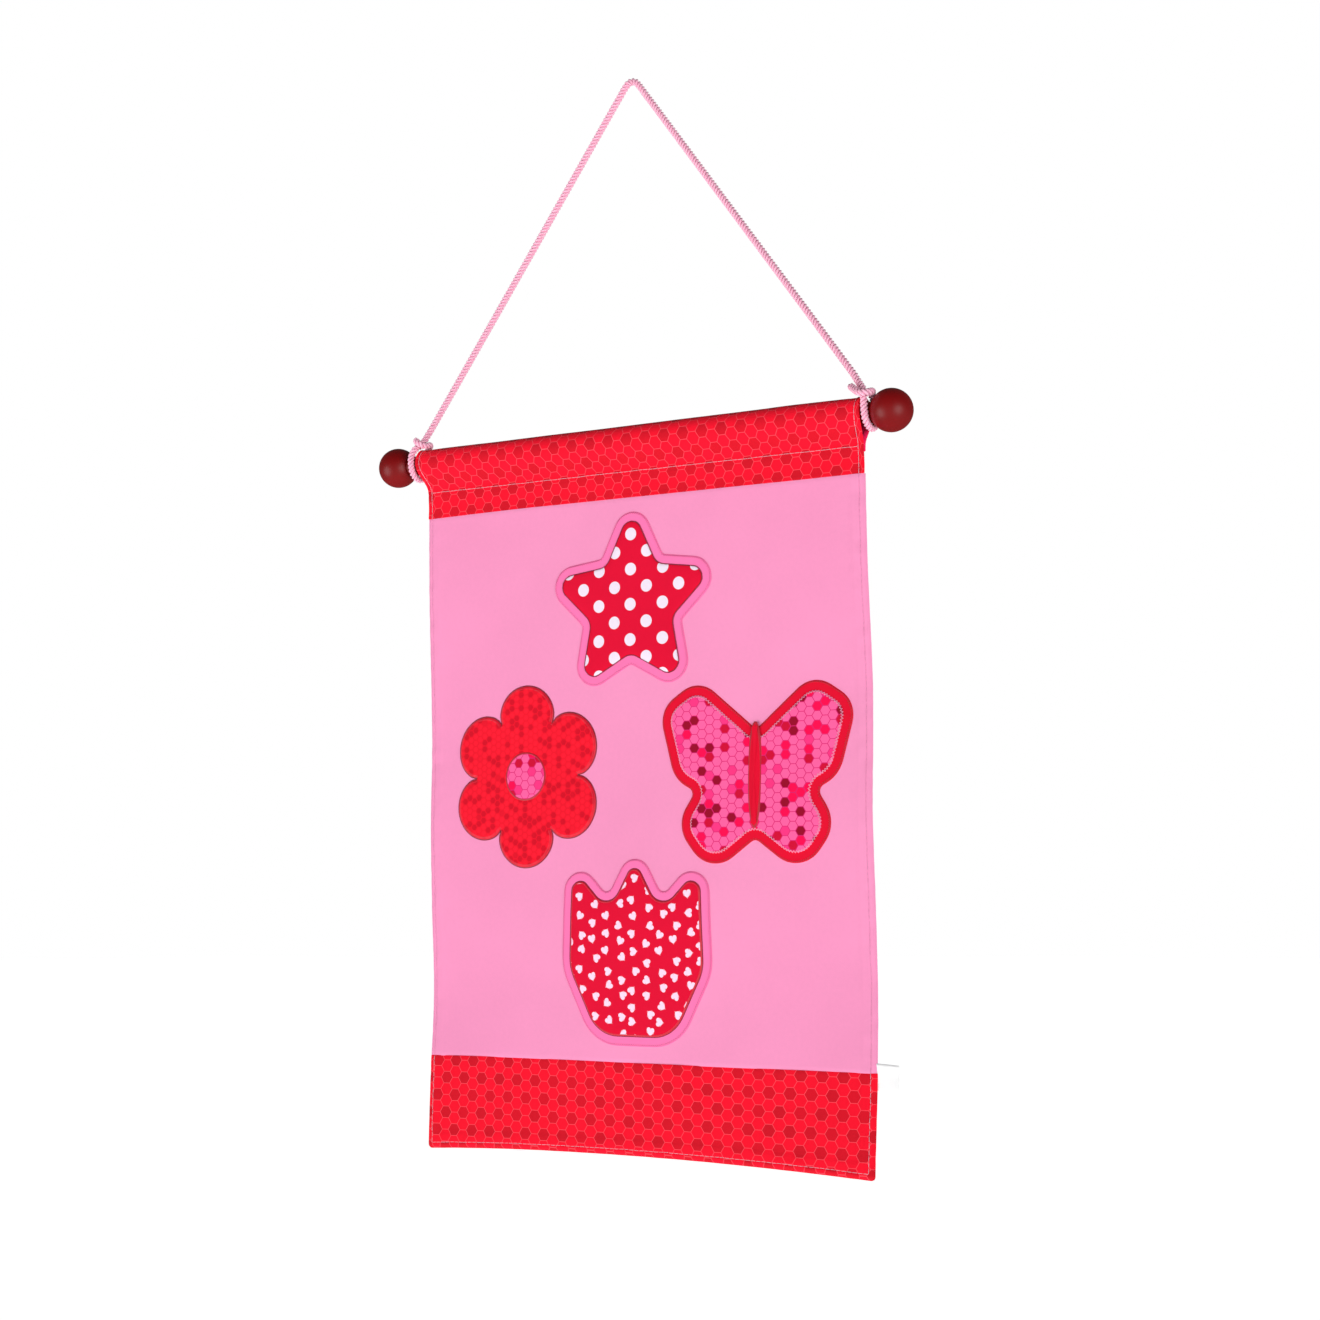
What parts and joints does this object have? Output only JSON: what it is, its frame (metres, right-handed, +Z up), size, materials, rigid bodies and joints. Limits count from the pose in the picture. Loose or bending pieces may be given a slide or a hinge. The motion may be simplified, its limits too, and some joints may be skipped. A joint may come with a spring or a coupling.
{
  "type": "decorative banner on a rod",
  "caption": "Pink cloth banner with red hexagon-print bands and applied motifs, hung from a wooden rod with ball ends by a twisted cord.",
  "frame": {"origin": "the point where the underside of the cord's bend rests on its hook", "axes": "+Z up along the hanging banner's length; the cloth's face looks along -Y; +X runs along the rod to the viewer's right"},
  "size_m": [0.3744, 0.0282, 0.6612],
  "materials": {
    "dark_red_paint": "dark red satin paint on turned wood",
    "band_fabric": "printed cotton, red hexagons with thin lighter outlines",
    "panel_fabric": "plain pink cotton, matt",
    "pink_halo_fabric": "plain darker pink cotton, satin-stitched edge",
    "red_halo_fabric": "plain red cotton, stitched edge",
    "spot_fabric": "red cotton printed with white spots",
    "tonal_fabric": "red cotton printed with tonal hexagons, satin-stitched rim",
    "pink_hexagon_fabric": "pink cotton printed with hexagons",
    "small_print_fabric": "red cotton with a scattered small white print",
    "label_tape": "plain white woven tape",
    "cord_yarn": "three-strand twisted pink yarn"
  },
  "bodies": {
    "root": {"rod": "dark_red_paint", "ball_left": "dark_red_paint", "ball_right": "dark_red_paint", "top_band": "band_fabric", "panel": "panel_fabric", "lower_band": "band_fabric", "star_halo": "pink_halo_fabric", "star": "spot_fabric", "flower": "tonal_fabric", "flower_centre": "pink_hexagon_fabric", "butterfly_halo": "red_halo_fabric", "butterfly": "pink_hexagon_fabric", "butterfly_body": "red_halo_fabric", "tulip_halo": "pink_halo_fabric", "tulip": "small_print_fabric", "side_label": "label_tape", "cord": "cord_yarn"}
  },
  "joints": []
}
